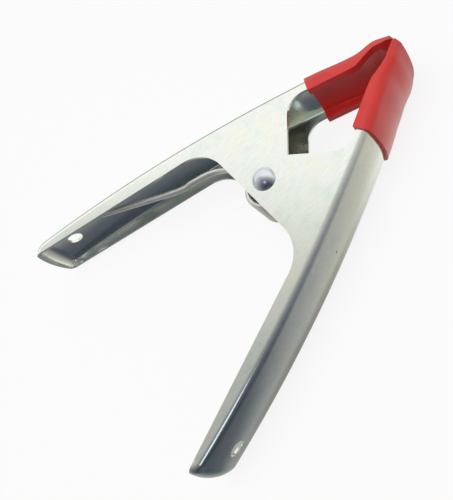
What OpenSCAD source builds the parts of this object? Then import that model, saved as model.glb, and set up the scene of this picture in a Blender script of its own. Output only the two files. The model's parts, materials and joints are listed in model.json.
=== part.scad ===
// Spring clamp: two pressed-steel arms on a rivet, closed by a torsion spring, with dipped jaw sleeves.
// The clamp lies on its side. X runs from the handles to the jaws and Z along the rivet.
// Each arm is one bent sheet: a bowed web on the outside, with an ear and two flanges folded inward.
// The arm on the +Y side is drawn; its mate is the same outline, one sheet wider, mirrored across Y.

/* [Sheet] */
// Thickness of the steel sheet
sheet = 1.2; // [0.8:0.1:1.6]
// Outside radius of the bend between web and flange
bend = 2.8; // [2.4:0.1:3.6]
// Radius of the web's crown across its width
crown = 45; // [35:1:90]
// Width of the outer arm across its two ears
arm_w = 27; // [22:0.5:34]
// Gap between the ears of the two arms
ear_gap = 0.1; // [0.05:0.05:0.4]

/* [Web] */
// Radius of the web's long bow, from handle to jaw
bow = 610; // [450:10:900]
// Length of web that follows the long bow
bow_len = 123.5; // [105:1:135]
// Radius of the curled-in handle end
curl = 7; // [6:0.5:10]
// Distance from the rivet to the end of the jaw sleeves
reach = 64.5; // [60:0.5:72]

/* [Jaw] */
// Slope of the web at the jaw tip
tip_slope = 27; // [24:1:30]
// Length of the straight lip at the tip
lip_len = 5; // [4:0.5:7]
// Radius of the bend behind the lip
lip_bend = 30; // [24:1:40]
// Turn of the bend behind the lip
lip_turn = 7; // [5:1:9]
// Length of the shoulder behind that bend
shoulder_len = 4; // [3:0.5:6]
// Radius of the hollow where the jaw is waisted
waist_bend = 20; // [15:1:30]
// Turn of that hollow
waist_turn = 11; // [8:1:14]
// Length of the straight jaw behind the waist
jaw_len = 9.5; // [7:0.5:11]
// Radius of the bend where the jaw joins the long bow
root_bend = 50; // [40:1:70]
// Turn of that bend
root_turn = 4.5; // [3:0.5:7]
// Corner radius of the tip, seen square to the web
tip_corner = 4.5; // [2:0.5:6]

/* [Flanges] */
// Depth of the channel where the sleeve starts
jaw_depth = 6.6; // [6:0.1:8]
// Depth of the channel at the waist of the jaw
waist_depth = 4.6; // [3.8:0.1:5.2]
// Depth of the channel along the lip
lip_depth = 2.9; // [2.8:0.1:3.3]
// Depth of the channel behind the ear
handle_depth = 7.4; // [6.5:0.1:9]
// Depth of the channel at the curled end
end_depth = 5.8; // [4.8:0.1:6]
// Distance along the bow from the rivet to where the handle's depth is measured
depth_at = 21; // [15:1:30]

/* [Ears] */
// Distance from the rivet to the ear's edge on the handle side
ear_back = 7.2; // [6.5:0.1:9]
// Distance from the rivet to the ear's edge on the jaw side
ear_front = 8.4; // [7.5:0.1:9.5]
// Slope of the ear's edge on the jaw side
ear_slope = 48; // [42:1:54]
// How far the ear reaches past the rivet
ear_drop = 6.2; // [5.8:0.1:8]
// Radius of the ear's two round corners
ear_corner = 5.4; // [4:0.1:5.7]
// Fillet between ear and handle
back_fillet = 14; // [9:0.5:16]
// Fillet between ear and jaw
front_fillet = 8.5; // [6:0.5:10]

/* [Pivot] */
// Diameter of the rivet
rivet_d = 6; // [5:0.1:7]
// Running clearance between the rivet and the inner arm
pin_clear = 0.05; // [0.02:0.01:0.1]
// Diameter of the rivet's round head
head_d = 9; // [8:0.1:10.5]
// Height of the round head
head_h = 2.9; // [2:0.1:3.5]
// Diameter of the formed tail
tail_d = 8.6; // [7.8:0.1:10]
// Height of the formed tail
tail_h = 1.7; // [1.2:0.1:2.2]

/* [Spring] */
// Diameter of the spring wire
wire_d = 2.4; // [2:0.1:2.5]
// Inside diameter of the coil
coil_d = 10.8; // [9:0.1:12]
// Whole turns in the coil
coil_turns = 7; // [5:1:7]
// Clearance between the spring and the steel round it
spring_clear = 0.2; // [0.1:0.05:0.5]
// Distance along the bow from the rivet to the end of each spring leg
leg_reach = 71; // [60:1:76]
// Distance from the rivet, along the clamp, to the bend where each leg turns along its arm
leg_bend = 9; // [7:0.5:11]

/* [Sleeves] */
// Wall of the soft sleeves
sleeve_t = 1.2; // [0.8:0.1:1.5]
// Clearance between sleeve and steel
sleeve_fit = 0.03; // [0.02:0.01:0.1]
// Gap between the two sleeves when the jaws are shut
jaw_gap = 0.3; // [0.2:0.1:0.6]

/* [Hanging hole] */
// Diameter of the hole near each handle end
hang_d = 6.4; // [5:0.1:8]
// Distance along the bow from the curled end to the hole
hang_in = 8; // [7:0.5:20]

/* [Hidden] */
$fn = 96;
STEEL = [0.78, 0.80, 0.77];
SPRING_STEEL = [0.62, 0.63, 0.62];
RED = [0.79, 0.20, 0.17];

rivet_r = rivet_d / 2;
wire_r = wire_d / 2;
inner_w = arm_w - 2 * (sheet + ear_gap);  // width of the inner arm, nested in the outer one
far = 60;                                 // longer than any piece is deep or wide
blank = 12;                               // depth of the flanges before the side view trims them
ear_blank = 50;                           // the same where the ears hang from the web
past_lip = 8;                             // how far the side view runs past the tip
past_root = 5;                            // how far the jaw's side view runs back along the arm
flat = 800;                               // radius of the jaw's nearly straight stretches

// Polar helpers: a unit vector at an angle, and the angle of a vector.
function dir(a) = [cos(a), sin(a)];
function angle_of(v) = atan2(v[1], v[0]);
function length_of(v) = sqrt(v * v);

// The web's outside line is walked from the jaw tip to the handle end. A state is [point, angle of
// the outward normal]; a stretch is [radius, turn], with a positive turn where the web bows outward.
// Turns are whole thousandths of a degree, so that neighbouring stretches share one plane exactly.
function step(s, stretch) = let(r = sign(stretch[1]) * stretch[0])
    [s[0] - r * (dir(s[1]) - dir(s[1] + stretch[1])), s[1] + stretch[1]];
function walk(list, i) = i == 0 ? tip : step(walk(list, i - 1), list[i - 1]);
function arc_turn(len, radius) = round(len / radius * 180000 / PI) / 1000;
function straight(len) = [flat, arc_turn(len, flat)];

// The shut jaws meet at the sleeves' inner corners, so the tip's place follows from the sleeve.
tip_normal = 90 - tip_slope;
tip_wall = lip_depth + sleeve_t;
tip_inner = [reach - (tip_wall + sleeve_t) * cos(tip_normal), jaw_gap / 2];
tip = [tip_inner + tip_wall * dir(tip_normal) + sleeve_t * dir(tip_normal + 90), tip_normal];
jaw = [
    straight(lip_len),
    [lip_bend, lip_turn],
    straight(shoulder_len),
    [waist_bend, -waist_turn],
    straight(jaw_len),
    [root_bend, root_turn]
];
main_bow = [bow, arc_turn(bow_len, bow)];
jaw_root = walk(jaw, len(jaw));
bow_end = step(jaw_root, main_bow);
bow_centre = jaw_root[0] - bow * dir(jaw_root[1]);

// States along the bow are counted from the point abreast of the rivet, positive to the handle.
abreast = angle_of(-bow_centre);
function bow_at(s) = let(a = abreast + arc_turn(s, bow)) [bow_centre + bow * dir(a), a];
function below(s, depth) = s[0] - depth * dir(s[1]);

// Free edges of the flanges. Grown by a skin, they become the sleeve's free edges.
function jaw_edge(skin) = [
    below(jaw_root, jaw_depth + skin),
    below(walk(jaw, 3), waist_depth + skin),
    below(walk(jaw, 1), lip_depth + skin),
    below(tip, lip_depth + skin)
];
handle_edge = [below(bow_at(depth_at), handle_depth), below(bow_end, end_depth)];

// Where two lines meet, each given by a point and a direction.
function meet(p, u, q, v) = p + u * ((q - p) * [v[1], -v[0]]) / (u * [v[1], -v[0]]);

// Ear corners: round corner centres, and the sharp corners that the fillets soften.
corner_back = [ear_corner - ear_back, ear_corner - ear_drop];
corner_front = [
    (ear_front - ear_corner + corner_back[1] * cos(ear_slope)) / sin(ear_slope),
    corner_back[1]
];
front_touch = corner_front + ear_corner * dir(ear_slope - 90);
handle_line = handle_edge[0] - handle_edge[1];
jaw_line = jaw_edge(0)[1] - jaw_edge(0)[0];
back_corner = meet(handle_edge[1], handle_line, [-ear_back, 0], [0, 1]);
front_corner = meet(front_touch, dir(ear_slope), jaw_edge(0)[0], jaw_line);

// The frame's origin is under the middle of the clamp's box, on the surface that it lies on.
curl_centre = below(bow_end, curl);
edge_dir = -handle_line / length_of(handle_line);
edge_drop = (curl_centre - handle_edge[1]) * [-edge_dir[1], edge_dir[0]];
handle_tip = curl_centre - edge_drop * [-edge_dir[1], edge_dir[0]]
    + sqrt(curl * curl - edge_drop * edge_drop) * edge_dir;
origin = [(reach + handle_tip[0]) / 2, arm_w / 2 + max(tail_h, sleeve_t)];

// Moves by a vector in a coarse and a fine step, which keeps every digit of it.
module at(v) {
    coarse = [for (x = v) round(1000 * x) / 1000];
    translate(coarse) translate(v - coarse) children();
}

module place() {
    translate([-origin[0], 0, origin[1]]) children();
}

// Area inside a U-shaped line: a crowned top at -X, round shoulders and straight sides.
module u_area(w, shoulder, top_r, top, depth) {
    side = w / 2 - shoulder;
    drop = top_r - sqrt(pow(top_r - shoulder, 2) - side * side);
    lean = asin(side / (top_r - shoulder));
    edge = [2 * shoulder * cos(lean), 2 * shoulder * sin(lean)];
    at([-top, 0]) {
        translate([-depth, -w / 2]) square([depth - drop, w]);
        for (z = [-side, side]) at([-drop, z]) circle(r = shoulder);
        intersection() {
            translate([-top_r, 0]) circle(r = top_r, $fn = 360);
            polygon([
                [-depth, -side], [-drop, -side], [edge[0] - drop, -side - edge[1]],
                [edge[0] - drop, side + edge[1]], [-drop, side], [-depth, side]
            ]);
        }
    }
}

// Section of the bent sheet, square to the web's line. A skin thickens it on both faces.
module section(w, skin, depth) {
    difference() {
        u_area(w + 2 * skin, bend + skin, crown + skin, -skin, depth);
        u_area(w - 2 * (sheet + skin), max(0.1, bend - sheet - skin), crown - sheet - skin,
            sheet + skin, depth + 1);
    }
}

// One stretch of web: the section carried round an arc from a state.
module stretch(s, seg, w, skin, depth) {
    out = sign(seg[1]);
    at(s[0] - out * seg[0] * dir(s[1]))
        rotate_extrude(angle = abs(seg[1]), start = out > 0 ? s[1] : s[1] + seg[1] + 180, $fn = 360)
            translate([seg[0], 0]) mirror([out > 0 ? 0 : 1, 0]) section(w, skin, depth);
}

// Concave fillet in a corner whose two edges leave it at angles a and b.
module fillet(corner, a, b, r) {
    half = (b - a) / 2;
    run = r / tan(half);
    difference() {
        polygon([corner - dir(a + half), corner + run * dir(a), corner + run * dir(b)]);
        translate(corner + r / sin(half) * dir(a + half)) circle(r = r);
    }
}

// Side view of the whole sheet, open above the web.
module arm_outline() {
    edge = jaw_edge(0);
    lip = edge[3] + past_lip * dir(tip[1] - 90);
    polygon([
        handle_edge[1] + far * edge_dir,
        back_corner,
        corner_back - [ear_corner, 0],
        corner_back - [0, ear_corner],
        corner_front - [0, ear_corner],
        front_touch,
        front_corner,
        edge[1],
        edge[2],
        lip,
        lip + [0, far],
        handle_edge[1] + far * edge_dir + [0, far]
    ]);
    for (c = [corner_back, corner_front]) translate(c) circle(r = ear_corner);
    fillet(back_corner, angle_of(edge_dir), 270, back_fillet);
    fillet(front_corner, 180 + ear_slope, 360 + angle_of(jaw_line), front_fillet);
}

// Side view of the jaw alone, grown by a skin past the flanges' edges and the tip.
module jaw_outline(skin) {
    edge = jaw_edge(skin);
    back = edge[0] - past_root * jaw_line / length_of(jaw_line);
    lip = edge[3] + past_lip * dir(tip[1] - 90);
    polygon([back, edge[1], edge[2], lip, lip + [0, far], back + [0, far]]);
}

// Rounds the tip's two corners, seen square to the web.
module tip_corners(w, skin) {
    r = tip_corner + skin;
    side = w / 2 + skin;
    translate(tip[0] - skin * dir(tip[1] + 90)) rotate([0, 0, tip[1]])
        for (flip = [0, 1]) mirror([0, 0, flip]) difference() {
            translate([-far / 2, -2, side - r]) cube([far, r + 2, r + 2]);
            translate([-far / 2 - 1, r - 0.02, side - r + 0.02]) rotate([0, 90, 0])
                cylinder(r = r, h = far + 2);
            translate([-far / 2 - 1, r - 0.02, 0]) cube([far + 2, r, side + 3]);
        }
}

// The jaw from its root to the tip, thickened by a skin. Its root bend may turn further by over.
module jaw_body(w, skin, over) {
    cap = arc_turn(skin, flat);
    last = len(jaw) - 1;
    difference() {
        intersection() {
            union() {
                stretch(step(tip, [-flat, -cap]), jaw[0] + [0, cap], w, skin, blank);
                for (i = [1:last - 1]) stretch(walk(jaw, i), jaw[i], w, skin, blank);
                stretch(walk(jaw, last), jaw[last] + [0, over], w, skin, blank);
            }
            linear_extrude(height = far, center = true) jaw_outline(skin);
        }
        tip_corners(w, skin);
    }
}

// One arm of a given width, with a rivet hole of a given radius.
module arm(w, hole_r) {
    hang_angle = bow_end[1] - arc_turn(hang_in, bow);
    difference() {
        intersection() {
            union() {
                for (i = [0:len(jaw) - 1]) stretch(walk(jaw, i), jaw[i], w, 0, blank);
                stretch(jaw_root, main_bow, w, 0, ear_blank);
                stretch(bow_end, [curl, 100], w, 0, curl - 0.3);
            }
            linear_extrude(height = far, center = true) arm_outline();
        }
        tip_corners(w, 0);
        cylinder(r = hole_r, h = far, center = true);
        translate(bow_centre + bow * dir(hang_angle)) rotate([0, 0, hang_angle]) rotate([0, 90, 0])
            cylinder(r = hang_d / 2, h = 8, center = true);
    }
}

// A soft sleeve: the jaw thickened on every face, less the steel that it grips.
module sleeve(w) {
    difference() {
        jaw_body(w, sleeve_t, 0);
        jaw_body(w, sleeve_fit, 3);
    }
}

module right_arm() {
    color(STEEL) place() mirror([0, 1, 0]) arm(arm_w, rivet_r);
}

module left_arm() {
    color(STEEL) place() arm(inner_w, rivet_r + pin_clear);
}

module right_jaw_sleeve() {
    color(RED) place() mirror([0, 1, 0]) sleeve(arm_w);
}

module left_jaw_sleeve() {
    color(RED) place() sleeve(inner_w);
}

// Rivet profile: a round head above the outer arm, the shank, and a flatter tail below it.
module dome(d, h) {
    r = (d * d / 4 + h * h) / (2 * h);
    intersection() {
        translate([0, h - r]) circle(r = r);
        square([d, h]);
    }
}

module pivot_rivet() {
    color(STEEL) place() rotate_extrude() {
        translate([0, -arm_w / 2]) square([rivet_r, arm_w]);
        translate([0, arm_w / 2]) dome(head_d, head_h);
        translate([0, -arm_w / 2]) mirror([0, 1]) dome(tail_d, tail_h);
    }
}

// Spring: the coil hangs on the rivet, pushed to the handles by its two legs. Each leg leaves the
// coil's end on the jaw side, turns along its arm and steps over to the middle of the channel.
coil_r = (coil_d + wire_d) / 2;
coil_x = rivet_r + spring_clear / 2 - coil_d / 2;
coil_top = inner_w / 2 - sheet - spring_clear - wire_r;
leg_end_z = coil_top / 2;
leg_end = below(bow_at(leg_reach),
    sheet + wire_r + spring_clear + crown - sqrt(crown * crown - leg_end_z * leg_end_z));
leg_knee = [-leg_bend, 2.18 * leg_bend];
leg = [
    [leg_knee[0] + 3.5, leg_knee[1] - 4.6, coil_top - 0.3],
    [leg_knee[0] - 0.5, leg_knee[1], coil_top - 1.2],
    [leg_knee[0] - 5, leg_knee[1] + 2.6, leg_end_z + 2.3],
    [leg_knee[0] - 11, leg_knee[1] + 5.6, leg_end_z + 0.8],
    [leg_knee[0] - 17.5, leg_knee[1] + 9.6, leg_end_z + 0.3],
    [leg_end[0], leg_end[1], leg_end_z]
];
to_leg = [leg[0][0] - coil_x, leg[0][1]];
coil_start = angle_of(to_leg) - acos(coil_r / length_of(to_leg));
coil_sweep = 360 * coil_turns + 2 * coil_start;
coil_rings = 18 * coil_turns;
wire_sides = 10;

// A smooth curve through the points of a leg.
function spline(p, i, t) = let(
    a = p[max(i - 1, 0)], b = p[i], c = p[i + 1], d = p[min(i + 2, len(p) - 1)]
) 0.5 * (2 * b + (c - a) * t + (2 * a - 5 * b + 4 * c - d) * t * t + (3 * b - a - 3 * c + d) * t * t * t);
leg_steps = 5;
leg_path = [for (i = [0:len(leg) - 2], k = [0:leg_steps - 1]) spline(leg, i, k / leg_steps), leg[len(leg) - 1]];
coil_path = [for (k = [0:coil_rings]) let(a = coil_start - coil_sweep * k / coil_rings)
    [coil_x + coil_r * cos(a), coil_r * sin(a), coil_top * (1 - 2 * k / coil_rings)]];
other_leg = [for (p = leg_path) [p[0], -p[1], -p[2]]];
wire_path = concat([for (i = [len(leg_path) - 1:-1:0]) leg_path[i]], coil_path, other_leg);

function unit(v) = v / norm(v);
function heading(p, i) = unit(p[min(i + 1, len(p) - 1)] - p[max(i - 1, 0)]);
function ring(p, i, r, n) = let(
    t = heading(p, i), side = unit(cross(t, [0, 0, 1])), up = cross(side, t)
) [for (k = [0:n - 1]) p[i] + r * (cos(360 * k / n) * side + sin(360 * k / n) * up)];

module wire(path, r, n) {
    last = len(path) - 1;
    polyhedron(
        points = [for (i = [0:last]) each ring(path, i, r, n)],
        faces = concat(
            [[for (k = [0:n - 1]) k]],
            [for (i = [0:last - 1], k = [0:n - 1])
                [i * n + k, i * n + n + k, i * n + n + (k + 1) % n, i * n + (k + 1) % n]],
            [[for (k = [n - 1:-1:0]) last * n + k]]
        ),
        convexity = 10
    );
}

module torsion_spring() {
    color(SPRING_STEEL) place() wire(wire_path, wire_r, wire_sides);
}

right_arm();
left_arm();
right_jaw_sleeve();
left_jaw_sleeve();
pivot_rivet();
torsion_spring();
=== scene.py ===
# %% [markdown]
# # A spring clamp
# Two pressed-steel arms cross at a rivet, a torsion spring holds their jaws shut, and the jaws are
# dipped in soft red vinyl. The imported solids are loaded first, as the frame that everything must
# fit. The arms, sleeves and spring are then modelled again with Blender's mesh operators, because
# sheet metal and dipped vinyl need rolled edges and smooth bends to catch the light.

import json
import math

import bmesh
import bpy
from mathutils import Matrix, Vector


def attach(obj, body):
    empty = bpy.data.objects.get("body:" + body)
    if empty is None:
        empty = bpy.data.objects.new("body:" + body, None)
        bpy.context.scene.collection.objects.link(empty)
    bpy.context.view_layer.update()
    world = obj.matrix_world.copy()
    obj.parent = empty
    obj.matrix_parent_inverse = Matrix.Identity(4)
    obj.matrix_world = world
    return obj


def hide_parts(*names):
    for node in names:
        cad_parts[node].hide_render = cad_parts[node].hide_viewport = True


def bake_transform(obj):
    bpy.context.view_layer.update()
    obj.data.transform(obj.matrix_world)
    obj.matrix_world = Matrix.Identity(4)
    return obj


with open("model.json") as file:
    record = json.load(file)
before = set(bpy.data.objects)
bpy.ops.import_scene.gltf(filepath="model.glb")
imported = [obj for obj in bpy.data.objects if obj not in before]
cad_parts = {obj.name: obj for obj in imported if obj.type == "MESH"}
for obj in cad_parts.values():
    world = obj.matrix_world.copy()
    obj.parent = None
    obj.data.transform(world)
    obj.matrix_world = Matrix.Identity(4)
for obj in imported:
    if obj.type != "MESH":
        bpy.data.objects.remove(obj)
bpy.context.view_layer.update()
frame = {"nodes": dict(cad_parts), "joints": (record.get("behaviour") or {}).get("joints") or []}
MM = 0.001
PIVOT = Vector(frame["joints"][0]["pos_m"])
print("solids:", sorted(frame["nodes"]), "pivot at", [round(c / MM, 2) for c in PIVOT])

# %% [markdown]
# ## Sizes
# All modelling is in millimetres, with the rivet's middle at the origin, X towards the jaws and Y
# towards the left arm. The left arm is drawn, and the right arm is its mirror image, one sheet
# wider, so that its ears close over the left arm's ears. Sheet, widths, ears, handle, rivet and
# hanging hole have the sizes of the solids. The line, depths and corners of the jaw, the reach and
# the length of the bow don't: they are drawn closer to a real clamp, whose lip is steeper, whose
# bend is sharper and whose waist is deeper than those of the solids.

# %% Named sizes
SHEET = 1.2          # steel thickness
BEND = 2.8           # outside radius between web and flange
CROWN = 45.0         # radius of the web across its width
OUTER_W = 27.0       # width of the right arm
INNER_W = 24.4       # width of the left arm, nested in it
REACH = 65.0         # rivet to the end of the sleeves
SLEEVE = 1.2         # vinyl thickness
RIVET_R = 3.0
FLAT = 800.0         # radius that stands for straight
ACROSS = 60.0        # further than any piece reaches
SHEARED = 1          # material slot of an arm's cut edges; its other faces have slot 0
print("arms", OUTER_W, "and", INNER_W, "mm wide, of", SHEET, "mm sheet")

# %% [markdown]
# ## The line of the web
# Seen from the side, an arm is one long line: a lip at the tip, a bend, a hollow waist, a shallow
# bow as far as the handle, and a curled end. It could be a curve through many points. A chain of
# arcs says the same with a radius and a turn for each stretch, each starts where the last one
# ends, and a change to one moves all that follows.

# %% Chain of arcs
BOW, BOW_LEN = 610.0, 123.0              # the web's long bow, from jaw to handle end
CURL, CURL_TURN = 7.0, 100.0             # the curled-in handle end
TIP_X = REACH - SLEEVE
TIP_RISE, TIP_SLOPE = 3.9, 38.0          # the web's height and slope at the tip


def ray(angle):
    """Unit vector at an angle in degrees, in the clamp's side view."""
    return Vector((math.cos(math.radians(angle)), math.sin(math.radians(angle)), 0))


def heading(v):
    """Angle of a vector in degrees, in the clamp's side view."""
    return math.degrees(math.atan2(v.y, v.x))


def along(state, stretch):
    """The next state after a stretch. A state is (point, angle of the outward normal)."""
    (point, angle), (radius, turn) = state, stretch
    signed = math.copysign(radius, turn)
    return point - signed * (ray(angle) - ray(angle + turn)), angle + turn


def arc(length, radius):
    """A stretch (radius, turn) from its length."""
    return radius, math.degrees(length / radius)


TIP = (Vector((TIP_X, TIP_RISE, 0)), 90 - TIP_SLOPE)
JAW = [
    arc(2.5, FLAT),    # lip
    (8, 28),           # bend behind the lip
    arc(2.4, FLAT),    # shoulder
    (11, -21),         # hollow of the waist
    arc(9.9, FLAT),    # straight jaw
    (110, 4.6),        # root, where the jaw joins the bow
]
states = [TIP]
for stretch in JAW:
    states.append(along(states[-1], stretch))
BEND_END, WAIST_END = states[2], states[4]
JAW_ROOT = states[-1]
BOW_END = along(JAW_ROOT, arc(BOW_LEN, BOW))
BOW_CENTRE = JAW_ROOT[0] - BOW * ray(JAW_ROOT[1])
print("jaw root", [round(c, 2) for c in JAW_ROOT[0]], "bow ends at", [round(c, 2) for c in BOW_END[0]])

# %% [markdown]
# ## From a line to a bent sheet
# A press forms the arm from one flat blank. The mesh is made the way a road is drawn on a map: the
# section's outer line is walked with a pen, then spun along each arc of the web. Spin keeps the
# faces in even rows, so the bend stays one clean, smooth band from handle to jaw.

# %% Pen


def pen_to(bm, vert, point):
    """Draw a straight edge to a point and return its new end."""
    new = bmesh.ops.extrude_vert_indiv(bm, verts=[vert])["verts"][0]
    new.co = point
    return new


def pen_arc(bm, vert, centre, axis, turn, steps):
    """Draw an arc by spinning the end vertex, and return the new end."""
    out = bmesh.ops.spin(bm, geom=[vert], cent=centre, axis=axis, angle=math.radians(turn), steps=steps)
    return [g for g in out["geom_last"] if isinstance(g, bmesh.types.BMVert)][0]


# %% Section and sweep
ROW_MM, ROW_TURN = 2.5, 6      # a new row of faces after so many millimetres, or degrees


def turned(bm, degrees):
    """Turn everything about the rivet's axis."""
    matrix = Matrix.Rotation(math.radians(degrees), 3, "Z")
    bmesh.ops.rotate(bm, verts=bm.verts, cent=(0, 0, 0), matrix=matrix)


def section_line(bm, width, skin, depth):
    """The section's outer line, at the jaw tip: flange, bend, crowned web, bend, flange."""
    half, bend, crown = width / 2 + skin, BEND + skin, CROWN + skin
    side = half - bend
    drop = crown - math.sqrt((crown - bend) ** 2 - side ** 2) - skin
    lean = math.degrees(math.asin(side / (crown - bend)))
    start = bm.verts.new((-depth, 0, -half))
    v = pen_to(bm, start, (-drop, 0, -half))
    v = pen_arc(bm, v, (-drop, 0, -side), (0, -1, 0), 90 - lean, steps=8)
    v = pen_arc(bm, v, (skin - crown, 0, 0), (0, -1, 0), 2 * lean, steps=14)
    v = pen_arc(bm, v, (-drop, 0, side), (0, -1, 0), 90 - lean, steps=8)
    pen_to(bm, v, (-depth, 0, half))


def sweep(bm, state, stretches):
    """Spin the section along a chain of arcs, starting at a state."""
    turned(bm, state[1])
    bmesh.ops.translate(bm, verts=bm.verts, vec=state[0])
    last = bm.verts[:] + bm.edges[:]
    for stretch in stretches:
        radius, turn = stretch
        length = abs(math.radians(turn)) * radius
        steps = max(1, round(length / ROW_MM), round(abs(turn) / ROW_TURN))
        centre = state[0] - math.copysign(radius, turn) * ray(state[1])
        last = bmesh.ops.spin(bm, geom=last, cent=centre, axis=(0, 0, 1), angle=math.radians(turn),
                              steps=steps)["geom_last"]
        state = along(state, stretch)


# %% [markdown]
# ## Sheet and cutters
# Solidify turns the swept surface into sheet metal of one thickness, as rolled steel is. What the
# press cuts away is taken off with exact booleans, because a punch and a shear are just that: one
# clean solid moved through another. Each cutter's faces are marked, and the marks stay on the cut
# edges they leave, which lets those edges take a finish of their own later.

# %% Mesh tools


def to_object(bm, name):
    bmesh.ops.recalc_face_normals(bm, faces=bm.faces)
    mesh = bpy.data.meshes.new(name)
    bm.to_mesh(mesh)
    bm.free()
    made = bpy.data.objects.new(name, mesh)
    bpy.context.scene.collection.objects.link(made)
    return made


def baked(thing):
    """Apply the modifiers by taking the evaluated mesh."""
    graph = bpy.context.evaluated_depsgraph_get()
    mesh = bpy.data.meshes.new_from_object(thing.evaluated_get(graph))
    thing.modifiers.clear()
    thing.data = mesh
    return thing


def cut(thing, tool, operation):
    """One boolean with a tool, which is then thrown away."""
    step = thing.modifiers.new("cut", "BOOLEAN")
    step.operation, step.object, step.solver, step.material_mode = operation, tool, "EXACT", "INDEX"
    baked(thing)
    bpy.data.objects.remove(tool)


def solidified(thing, thickness):
    wall = thing.modifiers.new("wall", "SOLIDIFY")
    wall.thickness, wall.offset, wall.use_even_offset = thickness, -1, True
    wall.material_offset_rim = SHEARED
    return baked(thing)


# %% Cutters


def moved_part(geom):
    """The vertices in what an extrusion returns."""
    return [g for g in geom if isinstance(g, bmesh.types.BMVert)]


def sheared(bm):
    """Mark a cutter's faces, so that the cuts it leaves take the arm's second finish."""
    for face in bm.faces:
        face.material_index = SHEARED


def prism(bm, name):
    """Close the pen's line into a face and give it height along Z."""
    face = bmesh.ops.contextual_create(bm, geom=bm.edges[:])["faces"]
    bmesh.ops.translate(bm, verts=bm.verts, vec=(0, 0, -ACROSS / 2))
    up = bmesh.ops.extrude_face_region(bm, geom=face)["geom"]
    sheared(bm)
    bmesh.ops.translate(bm, verts=moved_part(up), vec=(0, 0, ACROSS))
    return to_object(bm, name)


def rod(name, centre, direction, radius, length):
    """A round punch along a direction."""
    bm = bmesh.new()
    turn = Vector((0, 0, 1)).rotation_difference(direction).to_matrix()
    bmesh.ops.create_cone(bm, cap_ends=True, segments=64, radius1=radius, radius2=radius, depth=length)
    sheared(bm)
    bmesh.ops.rotate(bm, verts=bm.verts, cent=(0, 0, 0), matrix=turn)
    bmesh.ops.translate(bm, verts=bm.verts, vec=centre)
    return to_object(bm, name)


# %% [markdown]
# ## Cutting the side view
# The real blank is cut to its outline before it is bent. Here the bent sheet is swept with flanges
# that are too deep, and a prism of the finished side view trims them: straight handle edge, fillet,
# round-cornered ear, fillet again, and the tapering jaw. Corners are worked out where two edges
# meet, so a changed depth or slope carries its fillets with it.

# %% Edges of the side view
JAW_GAP = 0.3                                        # between the two sleeves at rest
LIP_DEPTH, WAIST_DEPTH, JAW_DEPTH = 2.4, 4.3, 5.5    # of the channel along the jaw
HANDLE_DEPTH, END_DEPTH, DEPTH_AT = 7.4, 5.8, 21.0   # and along the handle
EAR_BACK, EAR_FRONT, EAR_SLOPE, EAR_DROP, EAR_CORNER = 7.2, 8.4, 48.0, 6.2, 5.4
UPRIGHT = Vector((0, 1, 0))


def below(state, depth):
    return state[0] - depth * ray(state[1])


def on_bow(distance):
    """State on the long bow, a distance from the rivet towards the handle."""
    angle = heading(-BOW_CENTRE) + math.degrees(distance / BOW)
    return BOW_CENTRE + BOW * ray(angle), angle


def meet(p, u, q, v):
    """Where the line from p along u meets the line from q along v."""
    normal = Vector((v.y, -v.x, 0))
    return p + u * ((q - p).dot(normal) / u.dot(normal))


def jaw_edge(skin):
    """The jaw's open edge, from its root to the tip, a skin further out."""
    lip = below(BEND_END, LIP_DEPTH + skin)
    way = Vector((REACH, JAW_GAP / 2, 0)) - below(BEND_END, LIP_DEPTH + SLEEVE)
    return [
        below(JAW_ROOT, JAW_DEPTH + skin),
        below(WAIST_END, WAIST_DEPTH + skin),
        lip,
        meet(lip, way, Vector((TIP_X + skin, 0, 0)), UPRIGHT),
    ]


handle_edge = [below(on_bow(DEPTH_AT), HANDLE_DEPTH), below(BOW_END, END_DEPTH)]
handle_way = (handle_edge[1] - handle_edge[0]).normalized()
jaw_way = (jaw_edge(0)[1] - jaw_edge(0)[0]).normalized()
print("side view: handle edge at", round(heading(handle_way), 1), "jaw edge at", round(heading(jaw_way), 1))

# %% Ear
slope = math.radians(EAR_SLOPE)
corner_back = Vector((EAR_CORNER - EAR_BACK, EAR_CORNER - EAR_DROP, 0))
front_x = (EAR_FRONT - EAR_CORNER + corner_back.y * math.cos(slope)) / math.sin(slope)
corner_front = Vector((front_x, corner_back.y, 0))
front_touch = corner_front + EAR_CORNER * ray(EAR_SLOPE - 90)
back_corner = meet(handle_edge[1], handle_way, Vector((-EAR_BACK, 0, 0)), UPRIGHT)
front_corner = meet(front_touch, ray(EAR_SLOPE), jaw_edge(0)[0], jaw_way)
print("ear's round corners at", [round(c, 2) for c in corner_back], [round(c, 2) for c in corner_front])

# %% Outline of an arm
BACK_FILLET, FRONT_FILLET = 14.0, 8.5
PAST_HANDLE = 30.0      # how far the outline runs past the handle end


def fillet_points(corner, a, b, radius):
    """Touching points and centre of a fillet in a corner whose edges leave it at angles a and b."""
    half = (b - a) / 2
    run = radius / math.tan(math.radians(half))
    centre = corner + radius / math.sin(math.radians(half)) * ray(a + half)
    return corner + run * ray(a), corner + run * ray(b), centre


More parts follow.
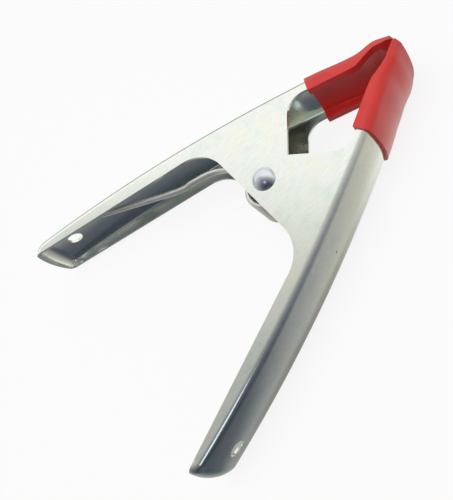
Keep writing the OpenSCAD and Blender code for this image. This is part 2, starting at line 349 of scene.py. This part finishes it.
def arm_outline():
    bm = bmesh.new()
    edge = jaw_edge(0)
    far_handle = handle_edge[1] + PAST_HANDLE * handle_way
    top = ACROSS * UPRIGHT
    back_a, back_b, back_c = fillet_points(back_corner, heading(handle_way), 270, BACK_FILLET)
    front_a, front_b, front_c = fillet_points(
        front_corner, 180 + EAR_SLOPE, 360 + heading(jaw_way), FRONT_FILLET)
    back_turn = heading(back_a - back_c) % 360 - heading(back_b - back_c) % 360
    front_turn = heading(front_b - front_c) - heading(front_a - front_c)
    first = bm.verts.new(far_handle + top)
    v = pen_to(bm, first, far_handle)
    v = pen_to(bm, v, back_a)
    v = pen_arc(bm, v, back_c, (0, 0, 1), -back_turn, steps=14)
    v = pen_to(bm, v, corner_back - Vector((EAR_CORNER, 0, 0)))
    v = pen_arc(bm, v, corner_back, (0, 0, 1), 90, steps=12)
    v = pen_to(bm, v, corner_front - Vector((0, EAR_CORNER, 0)))
    v = pen_arc(bm, v, corner_front, (0, 0, 1), EAR_SLOPE, steps=8)
    v = pen_to(bm, v, front_a)
    v = pen_arc(bm, v, front_c, (0, 0, 1), front_turn, steps=12)
    for point in (edge[1], edge[2], edge[3], edge[3] + top):
        v = pen_to(bm, v, point)
    bm.edges.new((v, first))
    return prism(bm, "arm outline")


# %% [markdown]
# ## Round corners at the tip
# Seen square to the web, the tip has two round corners, as a sheared blank does. Each is cut by a
# block with a hollow quarter round. The sleeve takes the same block with a radius one skin larger,
# so the vinyl keeps its thickness round the corner.

# %% Corner cutter and tip
TIP_CORNER = 2.5        # radius of the steel's corners
PAST_CORNER = 3.0       # how far the block reaches past the arm
TIP_OVER = 6.0          # how far the sweep starts past the tip, so that it can be cut square


def corner_cutter(width, skin, side):
    """The block for one corner of the tip, on the +Z side or, with side -1, on the other."""
    bm = bmesh.new()
    radius, half = TIP_CORNER + skin, width / 2 + skin
    start = -ACROSS / 2
    first = bm.verts.new((start, radius, half))
    v = pen_arc(bm, first, (start, radius, half - radius), (-1, 0, 0), -90, steps=16)
    out, wide = -PAST_CORNER, half + PAST_CORNER
    for y, z in ((out, half - radius), (out, wide), (radius, wide)):
        v = pen_to(bm, v, (start, y, z))
    bm.edges.new((v, first))
    face = bmesh.ops.contextual_create(bm, geom=bm.edges[:])["faces"]
    along_x = bmesh.ops.extrude_face_region(bm, geom=face)["geom"]
    bmesh.ops.translate(bm, verts=moved_part(along_x), vec=(ACROSS, 0, 0))
    if side < 0:
        bmesh.ops.scale(bm, verts=bm.verts, vec=(1, 1, -1))
    turned(bm, 90)
    bmesh.ops.translate(bm, verts=bm.verts, vec=(TIP_X + skin, 0, 0))
    return to_object(bm, "tip corner")


def past_tip():
    """The lip's stretch, begun further out."""
    more = arc(TIP_OVER, FLAT)[1]
    start = TIP[0] + FLAT * (ray(TIP[1] - more) - ray(TIP[1]))
    return (start, TIP[1] - more), (FLAT, JAW[0][1] + more)


# %% [markdown]
# ## Edges that catch the light
# No real edge is perfectly sharp. Tumbling and plating leave a small round on sheet steel, and
# cured vinyl has a wide one. Edges could be picked one by one, but a Bevel modifier by angle finds
# and rounds all of them at once, also those that the booleans have just made.

# %% Rolled edges
ROLL_FROM = 35      # degrees between two faces, above which their edge is rounded


def rolled_edges(thing, width, segments, finish=-1):
    """A small round on every sharp edge, and smooth shading. A finish of -1 is the faces' own."""
    roll = thing.modifiers.new("rolled edges", "BEVEL")
    roll.width, roll.segments, roll.limit_method = width, segments, "ANGLE"
    roll.angle_limit = math.radians(ROLL_FROM)
    roll.material = finish
    baked(thing)
    thing.data.shade_smooth()
    return thing


# %% [markdown]
# ## From the drawing into the frame
# Each piece is moved from the drawing's millimetres to the frame's metres. A clamp that has been
# pressed, riveted and sprung is never quite even: both noses lean a little to the left arm, and
# the hollow in the right jaw is a little fuller. Both are small moves of the finished vertices,
# which fade in smoothly, because a second drawing for them would hide that the arms are a pair.
# Weighted normals then keep the flat faces flat, so that a highlight runs right up to their rounds.

# %% Place in the frame
LEAN, LEAN_FROM, LEAN_OVER = 0.9, 46.0, 12.0
FILL, FILL_AT, FILL_OVER, FILL_DEPTH = 0.9, 53.5, 8.0, 5.0
SHARP_FROM = 40     # degrees between two faces, above which their edge stays sharp


def lean_at(x):
    part = min(1, max(0, (x - LEAN_FROM) / LEAN_OVER))
    return LEAN * part * part * (3 - 2 * part)


def fill_at(x, y):
    """How far the right jaw swells outwards, most away from the line where the jaws meet."""
    swell = max(0, 1 - ((x - FILL_AT) / FILL_OVER) ** 2) ** 2
    return FILL * swell * min(1, max(0, -y / FILL_DEPTH))


def place(thing, flip):
    """Lean the nose and put the piece in the frame, mirrored and filled for the right arm."""
    bm = bmesh.new()
    bm.from_mesh(thing.data)
    if flip:
        bmesh.ops.scale(bm, verts=bm.verts, vec=(1, -1, 1))
    for v in bm.verts:
        if flip:
            v.co.y -= fill_at(v.co.x, v.co.y)
        v.co.y += lean_at(v.co.x)
    bmesh.ops.scale(bm, verts=bm.verts, vec=(MM, MM, MM))
    bmesh.ops.translate(bm, verts=bm.verts, vec=PIVOT)
    bmesh.ops.recalc_face_normals(bm, faces=bm.faces)
    bm.to_mesh(thing.data)
    bm.free()
    thing.data.set_sharp_from_angle(angle=math.radians(SHARP_FROM))
    flat = thing.modifiers.new("flat faces stay flat", "WEIGHTED_NORMAL")
    flat.weight, flat.keep_sharp = 90, True
    return baked(thing)


# %% [markdown]
# ## Arms
# Each arm is one pressing: a crowned web, two flanges that grow into ears at the rivet, a curled
# handle end and a hanging hole. It could be built from separate plates, but then the bend between
# web and flange would be a seam. Here one sheet is swept, its rim is drawn down for the ears, it
# gets its thickness, and the side view, both holes and the tip's corners are cut from it.

# %% Blank of an arm
FLANGE_BLANK = 6.6                    # depth of the swept flanges
EAR_FROM, EAR_BLANK_Y = -25.0, -12.0  # from here to the jaw the rim is drawn down to one level
HANDLE_BLANK = 12.0                   # behind that, it is drawn down by so much
RIM_FRONT, RIM_TOP = 50.0, 52.0       # the rim drawn down lies behind and below these
PAST_BOW = 2.2                        # and ends at most so far past the bow, in the curl
RIM_RUN = 0.3                         # shorter edges are the section's own
TOUCH = 1e-3


def on_rim(edge, width):
    """Whether an edge is a flange's free edge, between the curl and the jaw."""
    on_flange = all(abs(abs(v.co.z) - width / 2) < TOUCH for v in edge.verts)
    back, front = sorted(v.co.x for v in edge.verts)
    in_reach = front < RIM_FRONT and back > BOW_END[0].x - PAST_BOW
    return (edge.is_boundary and on_flange and in_reach and front - back > RIM_RUN
            and min(v.co.y for v in edge.verts) < RIM_TOP)


def arm_blank(name, width):
    bm = bmesh.new()
    section_line(bm, width, 0, FLANGE_BLANK)
    start, lip = past_tip()
    sweep(bm, start, [lip] + JAW[1:] + [arc(BOW_LEN, BOW), (CURL, CURL_TURN)])
    rim = [edge for edge in bm.edges if on_rim(edge, width)]
    down = bmesh.ops.extrude_edge_only(bm, edges=rim)["geom"]
    for v in moved_part(down):
        v.co.y = EAR_BLANK_Y if v.co.x > EAR_FROM else v.co.y - HANDLE_BLANK
    return solidified(to_object(bm, name), SHEET)


# %% Pressed arms
HANG_R, HANG_IN = 3.2, 8.0      # the hanging hole, and its distance from the end of the bow
PUNCH = 8.0                     # length of its punch
HOLE_PLAY = 0.05                # between the rivet and the left arm, which turns on it
ARM_ROUND = 0.22


def build_arm(name, width, hole_r):
    arm = arm_blank(name, width)
    cut(arm, arm_outline(), "INTERSECT")
    hang = BOW_END[1] - math.degrees(HANG_IN / BOW)
    cut(arm, rod("hang", BOW_CENTRE + BOW * ray(hang), ray(hang), HANG_R, PUNCH), "DIFFERENCE")
    cut(arm, rod("hole", Vector((0, 0, 0)), Vector((0, 0, 1)), hole_r, ACROSS), "DIFFERENCE")
    for side in (1, -1):
        cut(arm, corner_cutter(width, 0, side), "DIFFERENCE")
    return arm


arms = {}
for side, width, hole in (("right", OUTER_W, RIVET_R), ("left", INNER_W, RIVET_R + HOLE_PLAY)):
    arm = build_arm(side + "_arm_sheet", width, hole)
    rolled_edges(arm, ARM_ROUND, segments=2, finish=SHEARED)
    place(arm, side == "right")
    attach(arm, side + "_side")
    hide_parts(side + "_arm")
    arms[side] = arm
    print(arm.name, len(arm.data.polygons), "faces")

# %% [markdown]
# ## Jaw sleeves
# The jaws are dipped in liquid vinyl, which cures to a soft skin with round, slightly swollen
# edges. Each sleeve is the same sweep as its arm, thicker by one skin on every side. A wide bevel
# rounds it before the slot for the steel is cut, so the slot itself stays crisp.

# %% Thickened jaw
SLEEVE_BLANK = 7.9      # depth of the swept flanges
PAST_ROOT = 5.0         # how far the outline runs back along the arm


def jaw_outline(skin):
    bm = bmesh.new()
    edge = jaw_edge(skin)
    back, top = edge[0] - PAST_ROOT * jaw_way, ACROSS * UPRIGHT
    v = first = bm.verts.new(back)
    for point in (edge[1], edge[2], edge[3], edge[3] + top, back + top):
        v = pen_to(bm, v, point)
    bm.edges.new((v, first))
    return prism(bm, "jaw outline")


def build_jaw(name, width, skin, over):
    """The jaw thickened by a skin on every face, its root bend turned further by over."""
    bm = bmesh.new()
    section_line(bm, width, skin, SLEEVE_BLANK)
    start, lip = past_tip()
    sweep(bm, start, [lip] + JAW[1:-1] + [(JAW[-1][0], JAW[-1][1] + over)])
    jaw = solidified(to_object(bm, name), SHEET + 2 * skin)
    cut(jaw, jaw_outline(skin), "INTERSECT")
    for side in (1, -1):
        cut(jaw, corner_cutter(width, skin, side), "DIFFERENCE")
    return jaw


# %% Dipped sleeves
SLOT_CLEAR = 0.04       # between vinyl and steel
SLOT_OVER = 3           # degrees that the slot's root turns further, so that it opens at the back
SLEEVE_ROUND = 1.0

sleeves = {}
for side, width in (("right", OUTER_W), ("left", INNER_W)):
    sleeve = build_jaw(side + "_sleeve_skin", width, SLEEVE, 0)
    rolled_edges(sleeve, SLEEVE_ROUND, segments=5)
    flow = sleeve.modifiers.new("vinyl flow", "SMOOTH")
    flow.factor, flow.iterations = 0.5, 4
    baked(sleeve)
    cut(sleeve, build_jaw("slot", width, SLOT_CLEAR, SLOT_OVER), "DIFFERENCE")
    sleeve.data.shade_smooth()
    for face in sleeve.data.polygons:
        face.material_index = 0    # the vinyl has one finish, its cut faces too
    place(sleeve, side == "right")
    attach(sleeve, side + "_side")
    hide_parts(side + "_jaw_sleeve")
    sleeves[side] = sleeve
    print(sleeve.name, len(sleeve.data.polygons), "faces")

# %% [markdown]
# ## Rivet
# A plain steel rivet: a round head, a shank through all four ears and a flatter tail set over by a
# press. It could be joined from a sphere and a cylinder, but one profile drawn with the pen and
# spun once round its axis has no seam under the head.

# %% Rivet
HEAD_R, HEAD_H, TAIL_R, TAIL_H = 4.5, 2.9, 4.3, 1.7
RIVET_ROUND = 0.15
MERGE = 1e-4


def dome(bm, v, rim, height, face_z, up):
    """A spherical cap from the rim to the axis, in the XZ plane."""
    radius = (rim * rim + height * height) / (2 * height)
    centre = Vector((0, 0, face_z + up * (height - radius)))
    turn = math.degrees(math.asin(rim / radius)) if height < radius else 90
    pen_arc(bm, v, centre, (0, up, 0), -turn, steps=12)


bm = bmesh.new()
face = OUTER_W / 2
start = bm.verts.new((TAIL_R, 0, -face))
dome(bm, start, TAIL_R, TAIL_H, -face, -1)
v = pen_to(bm, start, (RIVET_R, 0, -face))
v = pen_to(bm, v, (RIVET_R, 0, face))
v = pen_to(bm, v, (HEAD_R, 0, face))
dome(bm, v, HEAD_R, HEAD_H, face, 1)
bmesh.ops.spin(bm, geom=bm.verts[:] + bm.edges[:], cent=(0, 0, 0), axis=(0, 0, 1), angle=math.tau,
               steps=64, use_merge=True)
bmesh.ops.remove_doubles(bm, verts=bm.verts, dist=MERGE)
rivet = to_object(bm, "rivet_body")
rolled_edges(rivet, RIVET_ROUND, segments=2)
place(rivet, False)
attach(rivet, "right_side")
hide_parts("pivot_rivet")
print(rivet.name, len(rivet.data.polygons), "faces")

# %% [markdown]
# ## Torsion spring
# One wire: a leg up the left arm, seven turns round the rivet, and a leg up the right arm. A curve
# with a round bevel is the natural tool for wire. It is then made a mesh.

# %% Leg of the spring
WIRE_R, COIL_R, COIL_X, COIL_TOP, COIL_TURNS = 1.2, 6.6, -2.3, 9.6, 7
LEG_REACH, LEG_BEND, LEG_END_Z = 71.0, 9.0, 4.8
KNEE_SLOPE = 2.18       # the bend is so many times further towards the arm than behind the rivet
LEG_GAP = 0.2           # between wire and web
LEG_STEPS = 8


def spline(p, i, t):
    """A smooth curve through points, between point i and the next."""
    a, b, c, d = p[max(i - 1, 0)], p[i], p[i + 1], p[min(i + 2, len(p) - 1)]
    bend = 2 * a - 5 * b + 4 * c - d
    return 0.5 * (2 * b + (c - a) * t + bend * t * t + (3 * b - a - 3 * c + d) * t ** 3)


knee = Vector((-LEG_BEND, KNEE_SLOPE * LEG_BEND, 0))
crown_drop = CROWN - math.sqrt(CROWN ** 2 - LEG_END_Z ** 2)
leg_end = below(on_bow(LEG_REACH), SHEET + WIRE_R + LEG_GAP + crown_drop)
leg = [
    knee + Vector((3.5, -4.6, COIL_TOP - 0.3)),
    knee + Vector((-0.5, 0, COIL_TOP - 1.2)),
    knee + Vector((-5, 3.2, LEG_END_Z + 3.2)),
    knee + Vector((-11, 6.4, LEG_END_Z + 2.1)),
    knee + Vector((-18.5, 10.4, LEG_END_Z + 0.7)),
    leg_end + Vector((0, 0, LEG_END_Z)),
]
leg_path = [spline(leg, i, k / LEG_STEPS) for i in range(len(leg) - 1) for k in range(LEG_STEPS)] + [leg[-1]]
print("leg ends at", [round(c, 1) for c in leg[-1]])

# %% Coil and the whole wire
RINGS_PER_TURN = 40

to_leg = Vector((leg[0].x - COIL_X, leg[0].y, 0))
coil_start = heading(to_leg) - math.degrees(math.acos(COIL_R / to_leg.length))
coil_sweep = 360 * COIL_TURNS + 2 * coil_start
rings = RINGS_PER_TURN * COIL_TURNS
coil_path = []
for k in range(rings + 1):
    point = Vector((COIL_X, 0, 0)) + COIL_R * ray(coil_start - coil_sweep * k / rings)
    coil_path.append(point + Vector((0, 0, COIL_TOP * (1 - 2 * k / rings))))
other_leg = [Vector((p.x, -p.y, -p.z)) for p in leg_path]
path = leg_path[::-1] + coil_path + other_leg
print("wire has", len(path), "points,", round(coil_sweep), "degrees of them round the rivet")

# %% Spring wire
wire_curve = bpy.data.curves.new("wire", "CURVE")
wire_curve.dimensions = "3D"
wire_curve.bevel_depth, wire_curve.bevel_resolution, wire_curve.use_fill_caps = WIRE_R, 4, True
line = wire_curve.splines.new("POLY")
line.points.add(len(path) - 1)
for point, co in zip(line.points, path):
    point.co = (*co, 1)
wire = bpy.data.objects.new("spring_wire", wire_curve)
bpy.context.scene.collection.objects.link(wire)
wire_mesh = bpy.data.meshes.new_from_object(wire.evaluated_get(bpy.context.evaluated_depsgraph_get()))
bpy.data.objects.remove(wire)
spring = bpy.data.objects.new("spring_wire", wire_mesh)
bpy.context.scene.collection.objects.link(spring)
place(spring, False)
spring.data.shade_smooth()
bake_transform(spring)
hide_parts("torsion_spring")
print(spring.name, len(spring.data.polygons), "faces")

# %% [markdown]
# ## Finishes
# Every finish reads Object coordinates, so its pattern is tied to the metal and not to the view.
# Pattern sizes are real sizes in millimetres. Colours are written as sRGB hex and turned to linear
# by one function, because a shader socket wants linear values.

# %% Material helpers


def linear(hex_colour):
    """An sRGB hex colour as linear RGBA."""
    parts = [int(hex_colour[i:i + 2], 16) / 255 for i in (1, 3, 5)]
    return tuple(c / 12.92 if c <= 0.04045 else ((c + 0.055) / 1.055) ** 2.4 for c in parts) + (1,)


def node(tree, kind, inputs=None, stops=(), **settings):
    """Add a node, set its settings and colour stops, and fill inputs with values or links."""
    made = tree.nodes.new(kind)
    for key, value in settings.items():
        setattr(made, key, value)
    for key, value in (inputs or {}).items():
        if isinstance(value, bpy.types.NodeSocket):
            tree.links.new(value, made.inputs[key])
        else:
            made.inputs[key].default_value = value
    if stops:
        marks = made.color_ramp.elements
        marks.remove(marks[-1])
        marks[0].position, marks[0].color = stops[0][0], linear(stops[0][1])
        for position, colour in stops[1:]:
            marks.new(position).color = linear(colour)
    return made


def new_material(name):
    made = bpy.data.materials.new(name)
    made.use_nodes = True
    return made, made.node_tree, made.node_tree.nodes["Principled BSDF"]


def uneven_tone(tree, shader, patch_mm, detail, dark, light):
    """Base colour in soft patches between two tones, as no plating or dip is quite even."""
    where = node(tree, "ShaderNodeTexCoord").outputs["Object"]
    scale = 1 / (patch_mm * MM)
    cloud = node(tree, "ShaderNodeTexNoise", {"Vector": where, "Scale": scale, "Detail": detail})
    tone = node(tree, "ShaderNodeValToRGB", {"Fac": cloud.outputs["Fac"]}, stops=[(0.3, dark), (0.7, light)])
    tree.links.new(tone.outputs["Color"], shader.inputs["Base Color"])


def paint(thing, *materials):
    thing.data.materials.clear()
    for material in materials:
        thing.data.materials.append(material)
    print(thing.name, "wears", [material.name for material in materials])


# %% [markdown]
# ## Bright zinc plate
# The arms are electroplated with zinc under a clear chromate. That looks nearly white, faintly
# green or straw in patches, with a fine rolling grain from the sheet and a few dark pin-holes. An
# image could hold all this, but noise has no seams and runs over every bend. The grain is drawn
# coarser than life, because at its real size it wouldn't show.

# %% Tint and grain of the plate
CLOUD_MM = 8.0       # patches of the plating's tint
GRAIN_MM = 0.7       # rolling grain
GRAIN_TURN = 0.6     # radians from the clamp's length
GRAIN_RUN = 0.18     # the grain is stretched by one over this

zinc, tree, shader = new_material("bright_zinc_plated_steel")
where = node(tree, "ShaderNodeTexCoord").outputs["Object"]
cloud = node(tree, "ShaderNodeTexNoise", {
    "Vector": where, "Scale": 1 / (CLOUD_MM * MM), "Detail": 5.0, "Roughness": 0.7})
tint = node(tree, "ShaderNodeValToRGB", {"Fac": cloud.outputs["Fac"]},
            stops=[(0.32, "#EBF5EA"), (0.5, "#F8FBF5"), (0.68, "#FBFBEC")])
lie = node(tree, "ShaderNodeMapping", {
    "Vector": where, "Rotation": (0, 0, GRAIN_TURN), "Scale": (GRAIN_RUN, 1, 1)})
grain = node(tree, "ShaderNodeTexNoise", {
    "Vector": lie.outputs[0], "Scale": 1 / (GRAIN_MM * MM), "Detail": 2.0})
streak = node(tree, "ShaderNodeMapRange", {
    "Value": grain.outputs["Fac"], "From Min": 0.3, "From Max": 0.7, "To Min": 0.94, "To Max": 1.0})
grained = node(tree, "ShaderNodeMix", {0: 1.0, 6: tint.outputs["Color"], 7: streak.outputs["Result"]},
               data_type="RGBA", blend_type="MULTIPLY")

# %% Pin-holes in the plate
PIT_MM = 13.0                        # spacing of the cells that may hold a pin-hole
PIT_IN, PIT_OUT = 0.02, 0.05         # its dark middle and faded rim, as shares of the spacing
PIT_EMPTY = 0.7                      # share of the cells that stay clean

cells = node(tree, "ShaderNodeTexVoronoi", {"Vector": where, "Scale": 1 / (PIT_MM * MM)})
near = node(tree, "ShaderNodeMapRange", {
    "Value": cells.outputs["Distance"], "From Min": PIT_IN, "From Max": PIT_OUT,
    "To Min": 1.0, "To Max": 0.0})
lot = node(tree, "ShaderNodeSeparateColor", {"Color": cells.outputs["Color"]})
some = node(tree, "ShaderNodeMath", {0: lot.outputs[0], 1: PIT_EMPTY}, operation="GREATER_THAN")
pit = node(tree, "ShaderNodeMath", {0: near.outputs["Result"], 1: some.outputs[0]}, operation="MULTIPLY")
pitted = node(tree, "ShaderNodeMix", {0: pit.outputs[0], 6: grained.outputs[2], 7: linear("#77766C")},
              data_type="RGBA")
tree.links.new(pitted.outputs[2], shader.inputs["Base Color"])

# %% Sheen of the plate
GRAIN_DEPTH_MM = 0.03

rough = node(tree, "ShaderNodeMapRange", {
    "Value": cloud.outputs["Fac"], "From Min": 0.3, "From Max": 0.7, "To Min": 0.13, "To Max": 0.18})
tree.links.new(rough.outputs["Result"], shader.inputs["Roughness"])
bump = node(tree, "ShaderNodeBump", {
    "Height": grain.outputs["Fac"], "Strength": 0.12, "Distance": GRAIN_DEPTH_MM * MM})
tree.links.new(bump.outputs[0], shader.inputs["Normal"])
shader.inputs["Metallic"].default_value = 1.0
print(zinc.name, "has", len(tree.nodes), "nodes")

# %% [markdown]
# ## Sheared edges
# Where the sheet was cut and punched, the metal is torn, and the plate on it is thin and rough.
# It scatters light and looks grey beside the bright faces. It is a material of its own, on the
# faces that the cutters marked, because no pattern could know where the edges are.

# %% Sheared edges
edge_zinc, tree, shader = new_material("zinc_plated_sheared_edge")
uneven_tone(tree, shader, GRAIN_MM, 3.0, "#6C6E6A", "#868882")
shader.inputs["Metallic"].default_value = 0.7
shader.inputs["Roughness"].default_value = 0.6
for arm in arms.values():
    paint(arm, zinc, edge_zinc)

# %% [markdown]
# ## Dipped vinyl
# The sleeves are soft vinyl, dipped and cured without a mould. That leaves a closed, half-glossy
# skin with no grain, so colour and gloss do the work: an even red with a faint swell of tone, and
# a thin coat that softens the highlight's edge.

# %% Dipped vinyl
VINYL_PATCH_MM = 25 / 3

vinyl, tree, shader = new_material("dipped_red_vinyl")
uneven_tone(tree, shader, VINYL_PATCH_MM, 2.0, "#D02A26", "#DA322C")
shader.inputs["Roughness"].default_value = 0.3
shader.inputs["IOR"].default_value = 1.53
shader.inputs["Coat Weight"].default_value = 0.3
shader.inputs["Coat Roughness"].default_value = 0.3
for sleeve in sleeves.values():
    paint(sleeve, vinyl)

# %% [markdown]
# ## Rivet and spring steel
# The rivet is plated steel, headed cold, and the spring is plated drawn wire. Both shine softly,
# and the wire is the warmer of the two. Both are plain metals with a slightly uneven tone, because pieces
# this small show little more than how sharply they reflect.

# %% Rivet steel
RIVET_PATCH_MM = 5.0

bright, tree, shader = new_material("bright_plated_rivet_steel")
uneven_tone(tree, shader, RIVET_PATCH_MM, 2.0, "#DADFE8", "#ECEFF4")
shader.inputs["Metallic"].default_value = 1.0
shader.inputs["Roughness"].default_value = 0.26
paint(rivet, bright)

# %% Spring wire steel
WIRE_PATCH_MM = 10 / 3

drawn, tree, shader = new_material("plated_drawn_spring_wire")
uneven_tone(tree, shader, WIRE_PATCH_MM, 2.0, "#E0E0DA", "#F0EFEA")
shader.inputs["Metallic"].default_value = 0.8
shader.inputs["Roughness"].default_value = 0.27
paint(spring, drawn)

# %% [markdown]
# ## Studio
# Polished metal shows its surroundings more than its own colour, so the world is a plain studio:
# white behind and overhead, dark towards the front, and duller below the horizon. Only glossy rays
# see it. The camera sees white, and all other rays an even grey, at which colours render about as
# they are written.

# %% Bands of the studio
SKY_LEVEL = 0.46          # the even grey that lights everything
SIDE_LIMIT = -0.25        # past this, towards the handles, the studio gets no darker
BACK_TO_FRONT = 0.8, -1.2   # the bands run from the first value down to the second
UPPER_BANDS = [
    (0.0, "#4A525C"), (0.13, "#343B47"), (0.22, "#4C545F"), (0.35, "#6C7179"), (0.43, "#7E8087"),
    (0.5, "#909193"), (0.6, "#ABABAA"), (0.7, "#C1C2BF"), (0.76, "#CBCCC8"), (0.8, "#DFE1DC"),
    (0.83, "#F3F5F1"), (0.86, "#FFFFFF"),
]
LOWER_BANDS = [
    (0.0, "#5C636E"), (0.13, "#454C58"), (0.21, "#565B65"), (0.25, "#5D6268"), (0.3, "#757A7F"),
    (0.35, "#8A8D90"), (0.42, "#9B9C9C"), (0.53, "#B0B0AC"), (0.64, "#C3C1B8"), (0.7, "#DEDDD6"),
    (0.76, "#F2F2EE"), (0.86, "#EAEAE6"), (0.94, "#8C8C88"),
]

world = bpy.data.worlds.new("studio")
bpy.context.scene.world = world
world.use_nodes = True
tree = world.node_tree
away = node(tree, "ShaderNodeTexCoord").outputs["Generated"]
axes = node(tree, "ShaderNodeSeparateXYZ", {"Vector": away})
along_x = node(tree, "ShaderNodeMath", {0: axes.outputs["X"], 1: SIDE_LIMIT}, operation="MAXIMUM")
towards = node(tree, "ShaderNodeMath", {0: along_x.outputs[0], 1: axes.outputs["Y"]}, operation="ADD")
level = node(tree, "ShaderNodeMapRange", {
    "Value": towards.outputs[0], "From Min": BACK_TO_FRONT[1], "From Max": BACK_TO_FRONT[0],
    "To Min": 0.0, "To Max": 1.0})
upper = node(tree, "ShaderNodeValToRGB", {"Fac": level.outputs["Result"]}, stops=UPPER_BANDS)
lower = node(tree, "ShaderNodeValToRGB", {"Fac": level.outputs["Result"]}, stops=LOWER_BANDS)
print("studio has", len(UPPER_BANDS), "bands above and", len(LOWER_BANDS), "below the horizon")

# %% Studio as each kind of ray sees it
straight_down = node(tree, "ShaderNodeMapRange", {
    "Value": axes.outputs["Z"], "From Min": -1.0, "From Max": -0.95, "To Min": 0.5, "To Max": 1.0})
shaded = node(tree, "ShaderNodeVectorMath", {0: lower.outputs["Color"]}, operation="SCALE")
tree.links.new(straight_down.outputs["Result"], shaded.inputs["Scale"])
above_horizon = node(tree, "ShaderNodeMapRange", {
    "Value": axes.outputs["Z"], "From Min": -0.3, "From Max": 0.2})
studio = node(tree, "ShaderNodeMix", {
    0: above_horizon.outputs["Result"], 6: shaded.outputs[0], 7: upper.outputs["Color"]}, data_type="RGBA")
rays = node(tree, "ShaderNodeLightPath")
even = (SKY_LEVEL, SKY_LEVEL, SKY_LEVEL, 1)
mixed = node(tree, "ShaderNodeMix", {
    0: rays.outputs["Is Glossy Ray"], 6: even, 7: studio.outputs[2]}, data_type="RGBA")
behind = node(tree, "ShaderNodeMix", {
    0: rays.outputs["Is Camera Ray"], 6: mixed.outputs[2], 7: (1, 1, 1, 1)}, data_type="RGBA")
tree.links.new(behind.outputs[2], tree.nodes["Background"].inputs["Color"])
tree.nodes["Background"].inputs["Strength"].default_value = 1.0
print("world has", len(tree.nodes), "nodes")

# %% [markdown]
# ## Floor
# The clamp lies on a pale, matt floor that takes its soft shadow. To fade into the white behind
# it, the floor glows a little for camera rays alone, so no extra light falls on the clamp. Glossy
# rays pass it by, because the studio's lower bands already stand for it.

# %% Floor
FLOOR_HALF = 3            # metres from the middle to an edge
FLOOR_GLOW = 0.85         # how much of what the camera sees is plain white

bm = bmesh.new()
bmesh.ops.create_grid(bm, x_segments=1, y_segments=1, size=FLOOR_HALF)
floor = to_object(bm, "floor")
floor.visible_glossy = False
ground, tree, shader = new_material("pale_floor")
shader.inputs["Base Color"].default_value = (0.9, 0.9, 0.9, 1)
shader.inputs["Roughness"].default_value = 1.0
shader.inputs["Specular IOR Level"].default_value = 0.0
white = node(tree, "ShaderNodeEmission", {"Color": (1, 1, 1, 1), "Strength": 1.0})
rays = node(tree, "ShaderNodeLightPath")
share = node(tree, "ShaderNodeMath", {0: rays.outputs["Is Camera Ray"], 1: FLOOR_GLOW}, operation="MULTIPLY")
pick = node(tree, "ShaderNodeMixShader", {0: share.outputs[0], 1: shader.outputs[0], 2: white.outputs[0]})
tree.links.new(pick.outputs[0], tree.nodes["Material Output"].inputs["Surface"])
paint(floor, ground)

# %% [markdown]
# ## Lamps
# One wide lamp nearly overhead gives the soft shadow. Metal doesn't mirror it, because the studio
# above is already white. A second, weak and small lamp stands on the right arm's side, only to put
# the cool glint on the rivet's round head.

# %% Lamps


def softbox(name, direction, distance, size, power):
    """A round area lamp that faces the clamp from a direction."""
    lamp = bpy.data.lights.new(name, "AREA")
    lamp.shape, lamp.size, lamp.energy = "DISK", size, power
    thing = bpy.data.objects.new(name, lamp)
    bpy.context.scene.collection.objects.link(thing)
    way = Vector(direction).normalized()
    turn = way.to_track_quat("Z", "Y").to_matrix().to_4x4()
    thing.matrix_world = Matrix.Translation(PIVOT + way * distance) @ turn
    print(name, "lamp:", power, "W")
    return thing


overhead = softbox("overhead", (-0.15, 0.05, 1.0), distance=0.6, size=0.5, power=1.9)
overhead.visible_glossy = False
glint = softbox("glint", (-0.24, -0.49, 0.84), distance=0.6, size=0.18, power=0.08)
glint.data.color = (0.84, 0.93, 1.0)

# %% [markdown]
# ## Camera
# The camera stands close by and high up on the right arm's side, looks down at the middle of the
# clamp and is rolled. A matrix could say that in twelve numbers that nobody can read. It is set
# as one would set it by hand: where it stands, what it looks at and how far it is rolled, with
# both places in the drawing's millimetres.

# %% Camera
CAMERA_AT = Vector((2.88, -120.66, 214.89))
LOOKS_AT = Vector((-28.65, -1.13, 0))
ROLL = -59.63                 # degrees from level
SENSOR_MM = 36
FOCUS_PX, LONG_SIDE_PX = 667.861, 500    # focal length and longer side of the picture, in its pixels

camera = bpy.data.objects.new("camera", bpy.data.cameras.new("camera"))
bpy.context.scene.collection.objects.link(camera)
camera.data.sensor_width, camera.data.lens = SENSOR_MM, FOCUS_PX * SENSOR_MM / LONG_SIDE_PX
camera.data.clip_start, camera.data.clip_end = 0.01, 10
aim = (LOOKS_AT - CAMERA_AT).to_track_quat("-Z", "Y").to_matrix()
turn = aim @ Matrix.Rotation(math.radians(ROLL), 3, "Z")
camera.matrix_world = Matrix.Translation(PIVOT + CAMERA_AT * MM) @ turn.to_4x4()
bpy.context.scene.camera = camera
bpy.context.scene.view_settings.view_transform = "Standard"
print("lens", round(camera.data.lens, 1), "mm")
